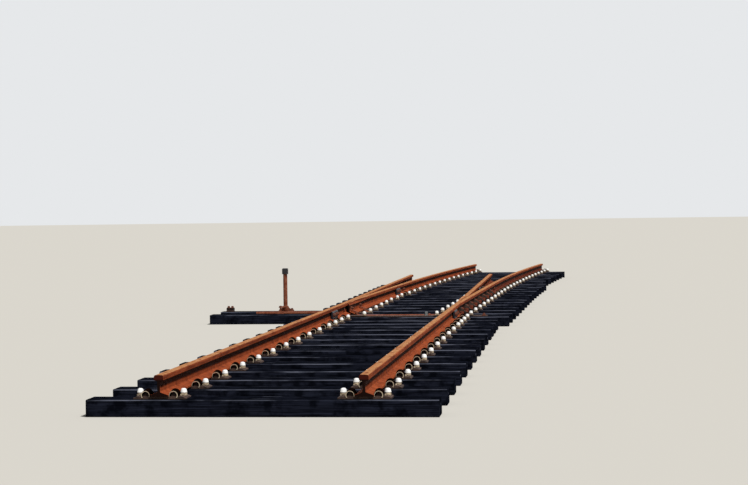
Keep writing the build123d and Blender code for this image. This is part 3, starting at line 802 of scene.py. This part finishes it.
plain_rows = row_centres("plain_sleepers", "joint_sleepers")
slide_rows = row_centres("toe_timber", "long_toe_timbers", "slide_timbers")
twin_rows = row_centres("heel_timbers", "trap_timbers")
far_rows = row_centres("far_sleepers")

# Slide plates before the two wider ones at the heel
NEAR_SLIDES = 6


def beside(rail_name, rows, offset, lift):
    """Origins and headings of things beside a rail at some rows."""
    x, heading = rail_at(rail_name, rows)
    right, back = offset * np.cos(heading), offset * np.sin(heading)
    return np.stack([x + right, rows - back, np.full_like(x, lift)], axis=-1), heading


def gather(entries):
    """Origins and headings of several entries of beside, as one list."""
    origins, headings = zip(*(beside(*entry) for entry in entries))
    return np.concatenate(origins), np.concatenate(headings)


# Spring clip: its arc, and its thin end, chamfer and back end as shares of its sizes
CLIP_ARC = (math.radians(200), math.radians(-40))
CLIP_STEPS = 14
CLIP_THIN_END = 0.35
CLIP_CHAMFER = 0.2
CLIP_BACK_SIZE = 1.08
CLIP_BACK_LEAN = 0.4


def clip_shape(settings):
    """Curled spring clip, seen end-on as a C that opens downwards, for a rail on its left.

    Its outer line is an arc from the rail's foot, over the top and down on the far side, and the
    strip thickens evenly on the way. From the front end to the back one the arc's centre rises and
    leans towards the rail, and its radius grows a little.
    """
    radius, thick = settings.clip_diameter / 2, settings.clip_thickness
    half, rise = settings.clip_width / 2, settings.clip_rise
    sweep = np.linspace(*CLIP_ARC, CLIP_STEPS)
    taper = np.linspace(CLIP_THIN_END, 1.0, CLIP_STEPS)[:, None]
    at_back = np.array([1, 0, 0, 0, 1])
    along = np.array([half, CLIP_CHAMFER * thick - half, -half, -half, half])
    grown = radius * np.where(at_back, CLIP_BACK_SIZE, 1.0)
    out = grown - thick * taper * np.array([0, 0, CLIP_CHAMFER, 1, 1])
    rings = np.stack([
        np.cos(sweep)[:, None] * out - CLIP_BACK_LEAN * rise * at_back,
        np.broadcast_to(along, (len(sweep), len(along))),
        np.sin(sweep)[:, None] * out + rise * at_back,
    ], axis=-1)
    return tube(rings)


# Jaw under a clip, in metres, and its height and its ends as shares of its size
JAW_GAP = 0.001
JAW_STEPS = 9
JAW_HEIGHT = 0.85
JAW_FRONT = 0.012
JAW_BACK = 0.045
JAW_FRONT_TAPER = 0.008
JAW_BACK_TAPER = 0.006
JAW_END = 0.8


def jaw_shape(settings):
    """Jaw of the plate that a clip grips: a half-round bar along the rail, tapered at its ends."""
    radius = settings.clip_diameter / 2 - settings.clip_thickness - JAW_GAP
    arc = np.linspace(0, math.pi, JAW_STEPS)
    low = -settings.clip_lift
    x = np.concatenate([[radius], radius * np.cos(arc), [-radius]])
    z = np.concatenate([[low], radius * JAW_HEIGHT * np.sin(arc), [low]])
    front, back = JAW_FRONT - settings.clip_width / 2, settings.clip_ahead + JAW_BACK
    y = np.array([front, front + JAW_FRONT_TAPER, back - JAW_BACK_TAPER, back])
    shrink = np.array([JAW_END, 1.0, 1.0, JAW_END])
    rings = np.stack([
        x[None] * shrink[:, None],
        np.broadcast_to(y[:, None], (len(y), len(x))),
        low + (z[None] - low) * shrink[:, None],
    ], axis=-1)
    return tube(rings[::-1])


class TRAP_OT_spring_clips(bpy.types.Operator):
    """Make the curled spring clips that hold the rail's foot down"""

    bl_idname = "trap.spring_clips"
    bl_label = "Spring Clips"

    def execute(self, context):
        settings = context.scene.trap_fastenings
        out = settings.clip_offset
        lift = RAIL_SEAT + settings.clip_lift
        right_of = [
            ("left_stock", plain_rows), ("right_stock", plain_rows),
            ("right_stock", twin_rows), ("left_through", twin_rows),
            ("left_through", far_rows), ("right_stock", far_rows),
        ]
        left_of = [
            ("left_stock", plain_rows), ("right_stock", plain_rows),
            ("left_stock", twin_rows), ("right_trap", twin_rows),
            ("left_through", far_rows), ("right_stock", far_rows),
        ]
        ahead = settings.clip_ahead
        for name, shape, key in (
            ("spring_clips", clip_shape(settings), "clip"), ("clip_jaws", jaw_shape(settings), "plate"),
        ):
            sides = []
            for own, offset, rails in ((shape, out, right_of), (mirrored_x(shape), -out, left_of)):
                places = [(rail, rows - ahead, offset, lift) for rail, rows in rails]
                sides.append(stamp(own, *gather(places)))
            piece(name, joined(*sides), "panel", material_for(key), sharp=30)
        return {"FINISHED"}


# Caps and round pieces: the brim's share of the cap, the dome's steps and powers, and the sides
CAP_BRIM = 0.22
CAP_DOME = (0, 30, 58, 80)
CAP_POWERS = (0.6, 0.9)
SMALL_SIDES = 12
ROUND_SIDES = 16


def cap_shape(settings):
    """Blunt cap: a low round brim, and above it a quarter of a superellipse up to the top."""
    r, h = settings.cap_diameter / 2, settings.cap_height
    brim = h * CAP_BRIM
    out, up = CAP_POWERS
    profile = [(r * 1.02, 0), (r * 1.07, brim * 0.6)]
    profile += [
        (r * math.cos(a) ** out, brim + (h - brim) * math.sin(a) ** up) for a in np.radians(CAP_DOME)
    ]
    return turned_shape(profile, SMALL_SIDES)


def ferrule_shape(settings):
    """Square cast foot that turns into a round collar."""
    r, h = settings.boss_diameter / 2, settings.boss_height
    square = turned_shape([(r * 1.25, 0), (r * 1.25, h * 0.35), (r * 1.10, h * 0.55)], 4, math.pi / 4)
    collar = turned_shape([(r, h * 0.3), (r * 0.98, h * 0.9), (r * 0.92, h)], SMALL_SIDES)
    return joined(square, collar)


def screw_places(settings):
    """Origins and headings of the capped chair screws, and then of those with their caps lost."""
    out = settings.screw_offset
    near_slide, heel_slide = slide_rows[:NEAR_SLIDES], slide_rows[NEAR_SLIDES:]
    entries = []
    for rail_name in ("left_stock", "right_stock"):
        for side in (-1, 1):
            entries.append((rail_name, plain_rows, side * out, RAIL_SEAT))
    for rail_name, side in (("left_stock", 1), ("right_stock", -1)):
        entries.append((rail_name, near_slide, side * settings.slide_screw, RAIL_SEAT))
        entries.append((rail_name, heel_slide, side * settings.heel_screw, RAIL_SEAT))
        entries.append((rail_name, slide_rows, -side * out, RAIL_SEAT))
        entries.append((rail_name, twin_rows, -side * out, RAIL_SEAT))
    entries.append(("left_through", twin_rows, out, RAIL_SEAT))
    for rail_name in ("left_through", "right_stock"):
        for side in (-1, 1):
            entries.append((rail_name, far_rows, side * out, RAIL_SEAT))
    return gather(entries), beside("right_trap", twin_rows, -out, RAIL_SEAT)


class TRAP_OT_chair_screws(bpy.types.Operator):
    """Make the chair screws' ferrules and their moulded caps"""

    bl_idname = "trap.chair_screws"
    bl_label = "Chair Screws"

    def execute(self, context):
        settings = context.scene.trap_fastenings
        capped, bare = screw_places(settings)
        ferrule = ferrule_shape(settings)
        piece("screw_ferrules", joined(stamp(ferrule, *capped), stamp(ferrule, *bare)), "panel",
              material_for("ferrule"))
        for name, shape, (origins, headings), slot, key in (
            ("screw_caps", cap_shape(settings), capped, "galvanised_clamp", "cap"),
            ("bare_screws", coach_screw_shape(settings), bare, "plate_iron", "bolt"),
        ):
            raised = origins + np.array([0, 0, settings.boss_height])
            piece(name, stamp(shape, raised, headings), "panel", material_for(key))
        return {"FINISHED"}


# Bolts, in metres from the rail's centre or seat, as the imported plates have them
FISHBOLT_STEPS = np.array([-0.1905, -0.0635, 0.0635, 0.1905])
FISHBOLT_HEIGHT = 0.073
FISHPLATE_OUT = 0.044
BLOCK_FROM_HEEL = 0.830
BLOCK_BOLT_STEPS = np.array([-0.065, 0.065])
BRACE_OUT = 0.0363
BRACE_BOLT_HEIGHT = 0.072
STRAP_OUT = 0.022
STRAP_BOLT_HEIGHT = 0.078
STRAP_BOLT_STEPS = np.array([-0.017, 0.017])

# Size of a strap's bolt beside the other bolts
STRAP_BOLT_SIZE = 0.68

# Blades, rods and footings, in metres; the crank's turn from the track's line at rest, in degrees
TOE_FROM_SET = 0.340
TOE_WEB_OFFSET = 0.050
PLANING_OFFSET = 0.07485
STRETCHER_ROW = 0.370
DRIVE_ROW = 1.246
SPINDLE_PLACE = (-1.745, 1.413)
CRANK_SWING = 14.4399
CRANK_LENGTH = 0.170
CRANK_TOP = 0.2033
STAND_ROW = 1.4732
STAND_TOP = 0.141
STAND_SCREWS = 0.07
END_BLOCK_X = -2.534
END_BLOCK_TOP = 0.179
END_BLOCK_SCREWS = 0.026
SOLE_TOP = 0.139
SOLE_SCREWS = (1.085, 0.045)

# End of a thread that stands out of a nut: its number of steps, and their sizes in metres
THREAD_STEPS = 8
THREAD_STEP = 0.0022
THREAD_DEPTH = 0.0011
THREAD_SUNK = 0.004
THREAD_CHAMFER = 0.002


def blade_offset(row):
    """Distance of a closed blade's centre line from its stock rail's: it grows evenly from the toe."""
    planed = PLANING_OFFSET / math.tan(THROUGH_ANGLE - TRAP_ANGLE)
    slope = (PLANING_OFFSET - TOE_WEB_OFFSET) / (planed - TOE_FROM_SET)
    return TOE_WEB_OFFSET + (row - SET_Y - TOE_FROM_SET) * slope


def bolt_head_shape(settings):
    """Bolt's hexagon head along +X, its outer corners turned off, on a thin washer."""
    r, t = settings.bolt_across / 2, settings.bolt_head
    washer = turned_shape([(r * 1.12, -0.001), (r * 1.12, 0.002), (r * 1.05, 0.003)], ROUND_SIDES)
    head = turned_shape([(r, 0.002), (r, t * 0.8), (r * 0.93, t * 0.93), (r * 0.80, t)], 6)
    return along_x(joined(washer, head))


def bolt_nut_shape(settings):
    """Nut along +X on a washer, with the end of the threaded shank standing out of it."""
    r, t, shank = settings.bolt_across / 2, settings.bolt_nut, settings.bolt_diameter / 2
    washer = turned_shape([(r * 1.16, -0.001), (r * 1.16, 0.003), (r * 1.08, 0.004)], ROUND_SIDES)
    nut = turned_shape([(r * 0.92, 0.003), (r, 0.005), (r, t * 0.88), (r * 0.90, t)], 6)
    step = np.arange(THREAD_STEPS)
    height = t - THREAD_SUNK + step * THREAD_STEP
    profile = list(zip(shank - THREAD_DEPTH * (step % 2), height))
    profile.append((shank * 0.8, height[-1] + THREAD_CHAMFER))
    return along_x(joined(washer, nut, turned_shape(profile, SMALL_SIDES)))


def coach_screw_shape(settings):
    """Square-headed screw along +Z: the head's sides lean in a little, over a round flange."""
    r = settings.bolt_across / 2
    flange = turned_shape([(r * 1.2, -0.001), (r * 1.2, 0.003), (r * 0.9, 0.007)], ROUND_SIDES)
    head = turned_shape([(r * 0.95, 0.004), (r * 0.85, 0.022), (r * 0.70, 0.026)], 4, math.pi / 4)
    return joined(flange, head)


def through_bolts(settings, heads, nuts):
    """Heads and nuts of bolts across the rails; an offset to the left turns its shape to the left."""
    shapes = []
    for shape, entries in ((bolt_head_shape(settings), heads), (bolt_nut_shape(settings), nuts)):
        for side, own in ((1, shape), (-1, mirrored_x(shape))):
            chosen = [entry for entry in entries if entry[2] * side > 0]
            if chosen:
                shapes.append(stamp(own, *gather(chosen)))
    return joined(*shapes)


class TRAP_OT_bolts(bpy.types.Operator):
    """Make the bolts of the fishplates, heel blocks, braces, straps and hand gear"""

    bl_idname = "trap.bolts"
    bl_label = "Bolts"

    def execute(self, context):
        settings = context.scene.trap_fastenings
        heads, nuts = [], []
        level = RAIL_SEAT + FISHBOLT_HEIGHT
        joints = (
            ("left_stock", NEAR_JOINT_Y),
            ("right_stock", NEAR_JOINT_Y),
            ("left_through", rail_lines["left_through"][0, 1]),
            ("right_trap", rail_lines["right_trap"][0, 1]),
        )
        for rail_name, row in joints:
            # The fishbolts' nuts stand on either side of the rail by turns
            rows = row + FISHBOLT_STEPS
            for side, pick in ((1, slice(0, None, 2)), (-1, slice(1, None, 2))):
                nuts.append((rail_name, rows[pick], side * FISHPLATE_OUT, level))
                heads.append((rail_name, rows[pick], -side * FISHPLATE_OUT, level))
        blocks = rail_lines["left_through"][0, 1] + BLOCK_FROM_HEEL + BLOCK_BOLT_STEPS
        for stock, inner, side in (("left_stock", "left_through", 1), ("right_stock", "right_trap", -1)):
            nuts.append((inner, blocks, side * WEB_HALF, level))
            heads.append((stock, blocks, -side * WEB_HALF, level))
        brace_level = RAIL_SEAT + BRACE_BOLT_HEIGHT
        for stock, side in (("left_stock", -1), ("right_stock", 1)):
            nuts.append((stock, slide_rows, side * BRACE_OUT, brace_level))
            heads.append((stock, slide_rows, -side * WEB_HALF, brace_level))
        piece("track_bolts", through_bolts(settings, heads, nuts), "panel",
              material_for("bolt"))

        straps = (
            ("left_strap_bolts", "left_switch", "left_stock", 1, (STRETCHER_ROW, DRIVE_ROW)),
            ("right_strap_bolts", "right_switch", "right_stock", -1, (STRETCHER_ROW,)),
        )
        strap_level = RAIL_SEAT + STRAP_BOLT_HEIGHT
        for name, body, stock, side, rows in straps:
            entries = [
                (stock, row + STRAP_BOLT_STEPS, side * (blade_offset(row) + STRAP_OUT), strap_level)
                for row in rows
            ]
            shape = resized(bolt_nut_shape(settings), STRAP_BOLT_SIZE)
            shape = shape if side > 0 else mirrored_x(shape)
            piece(name, stamp(shape, *gather(entries)), body, material_for("bolt"))

        screw = coach_screw_shape(settings)
        stand_x, stand_y = SPINDLE_PLACE[0], STAND_ROW
        corners = [(x, y) for x in (-1, 1) for y in (-1, 1)]
        places = [
            (stand_x + x * STAND_SCREWS, stand_y + y * STAND_SCREWS, STAND_TOP) for x, y in corners
        ]
        places += [(END_BLOCK_X + x * END_BLOCK_SCREWS, stand_y, END_BLOCK_TOP) for x in (-1, 1)]
        places += [(x * SOLE_SCREWS[0], y * SOLE_SCREWS[1], SOLE_TOP) for x, y in corners]
        piece("footing_screws", stamp(screw, places, np.zeros(len(places))), "panel",
              material_for("bolt"))

        pin = turned_shape([(0.011, -0.001), (0.018, -0.001), (0.018, 0.008), (0.013, 0.012)], ROUND_SIDES)
        swing = math.radians(CRANK_SWING)
        pin_x = SPINDLE_PLACE[0] - CRANK_LENGTH * math.sin(swing)
        pin_y = SPINDLE_PLACE[1] - CRANK_LENGTH * math.cos(swing)
        piece("crank_pin_head", moved(pin, pin_x, pin_y, CRANK_TOP), "spindle",
              material_for("bolt"))
        return {"FINISHED"}


# Stage
CAMERA_PLACE = (2.2798, -22.6805, 1.44859)
CAMERA_YAW = -0.114734
CAMERA_PITCH = 0.0155245
CAMERA_ROLL = -0.0128327
CAMERA_LENS = 84.52
KEY_DIRECTION = (0.36, -0.33, 0.80)
SENSOR_WIDTH = 36.0
CAMERA_REACH = 1000.0
FLOOR_REACH = 400.0


class TRAP_OT_stage(bpy.types.Operator):
    """Set the floor, the backdrop, the light and the camera"""

    bl_idname = "trap.stage"
    bl_label = "Stage"

    def execute(self, context):
        settings = context.scene.trap_stage
        mesh = bpy.data.meshes.new("floor")
        corners = [(x * FLOOR_REACH, y * FLOOR_REACH, 0) for x, y in ((-1, -1), (1, -1), (1, 1), (-1, 1))]
        mesh.from_pydata(corners, [], [(0, 1, 2, 3)])
        floor = bpy.data.objects.new("floor", mesh)
        context.scene.collection.objects.link(floor)
        material, nodes, _ = new_material("plain_floor")
        surface = add(
            nodes, "BsdfPrincipled",
            named={"Base Color": settings.floor, "Roughness": 0.9, "Specular IOR Level": 0.0},
        )
        add(nodes, "OutputMaterial", surface)
        mesh.materials.append(material)

        world = bpy.data.worlds.new("studio")
        context.scene.world = world
        world.use_nodes = True
        nodes = world.node_tree.nodes
        nodes.clear()
        path = add(nodes, "LightPath")
        light = add(nodes, "Background", settings.sky, settings.fill)
        seen = add(nodes, "Background", settings.sky, 1.0)
        shown = path.outputs["Is Camera Ray"]
        for ray in ("Is Glossy Ray", "Is Transmission Ray"):
            shown = add(nodes, "Math", shown, path.outputs[ray], operation="MAXIMUM")
        add(nodes, "OutputWorld", add(nodes, "MixShader", shown, light, seen))

        lamp = bpy.data.lights.new("key", "SUN")
        lamp.energy = settings.sun
        lamp.angle = settings.sun_angle
        key = bpy.data.objects.new("key", lamp)
        towards = Vector(KEY_DIRECTION).normalized()
        key.rotation_euler = towards.to_track_quat("Z", "Y").to_euler()
        context.scene.collection.objects.link(key)

        camera = bpy.data.objects.new("camera", bpy.data.cameras.new("camera"))
        context.scene.collection.objects.link(camera)
        sight = Vector((math.sin(CAMERA_YAW), math.cos(CAMERA_YAW), 0))
        right = Vector((math.cos(CAMERA_YAW), -math.sin(CAMERA_YAW), 0))
        up = Vector((0, 0, 1))
        cos, sin = math.cos(CAMERA_PITCH), math.sin(CAMERA_PITCH)
        sight, up = sight * cos - up * sin, up * cos + sight * sin
        cos, sin = math.cos(CAMERA_ROLL), math.sin(CAMERA_ROLL)
        right, up = right * cos + up * sin, up * cos - right * sin
        turn = Matrix((right, up, -sight)).transposed().to_4x4()
        camera.matrix_world = Matrix.Translation(CAMERA_PLACE) @ turn
        camera.data.sensor_width = SENSOR_WIDTH
        camera.data.lens = CAMERA_LENS
        camera.data.clip_end = CAMERA_REACH
        context.scene.camera = camera
        context.scene.view_settings.view_transform = "Standard"
        return {"FINISHED"}


SLOT_FINISHES = {
    "creosoted_timber": "timber",
    "rail_steel": "rail",
    "plate_iron": "plate",
    "fishplate_steel": "oiled",
    "rod_steel": "rod",
    "black_paint": "paint",
    "galvanised_clamp": "zinc",
}


class TRAP_OT_finishes(bpy.types.Operator):
    """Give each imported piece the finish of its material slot"""

    bl_idname = "trap.finishes"
    bl_label = "Finishes"

    def execute(self, context):
        for row in frame["record"]["subparts"]:
            obj = frame["nodes"][row["node"]]
            obj.data.materials.clear()
            obj.data.materials.append(material_for(SLOT_FINISHES[row["material_slot"]]))
        return {"FINISHED"}


class TRAP_PT_panel(bpy.types.Panel):
    """Lists what the add-on makes"""

    bl_idname = "TRAP_PT_panel"
    bl_label = "Trap Points"
    bl_space_type = "VIEW_3D"
    bl_region_type = "UI"
    bl_category = "Trap Points"

    def draw(self, context):
        for operator in OPERATORS:
            self.layout.operator(operator.bl_idname)
        for group in GROUPS:
            box = self.layout.box()
            settings = getattr(context.scene, group)
            for name in settings.__annotations__:
                box.prop(settings, name)


GROUPS = {
    "trap_timbers": TimberSettings,
    "trap_fastenings": FasteningSettings,
    "trap_finishes": FinishSettings,
    "trap_stage": StageSettings,
}
OPERATORS = (
    TRAP_OT_finishes,
    TRAP_OT_worn_timbers,
    TRAP_OT_spring_clips,
    TRAP_OT_chair_screws,
    TRAP_OT_bolts,
    TRAP_OT_stage,
)


def register():
    for item in (*GROUPS.values(), *OPERATORS, TRAP_PT_panel):
        bpy.utils.register_class(item)
    for name, group in GROUPS.items():
        setattr(bpy.types.Scene, name, bpy.props.PointerProperty(type=group))


def unregister():
    for name in GROUPS:
        delattr(bpy.types.Scene, name)
    for item in (TRAP_PT_panel, *reversed(OPERATORS), *GROUPS.values()):
        bpy.utils.unregister_class(item)


def main():
    register()
    for operator in OPERATORS:
        area, name = operator.bl_idname.split(".")
        getattr(getattr(bpy.ops, area), name)()


if __name__ == "__main__":
    main()
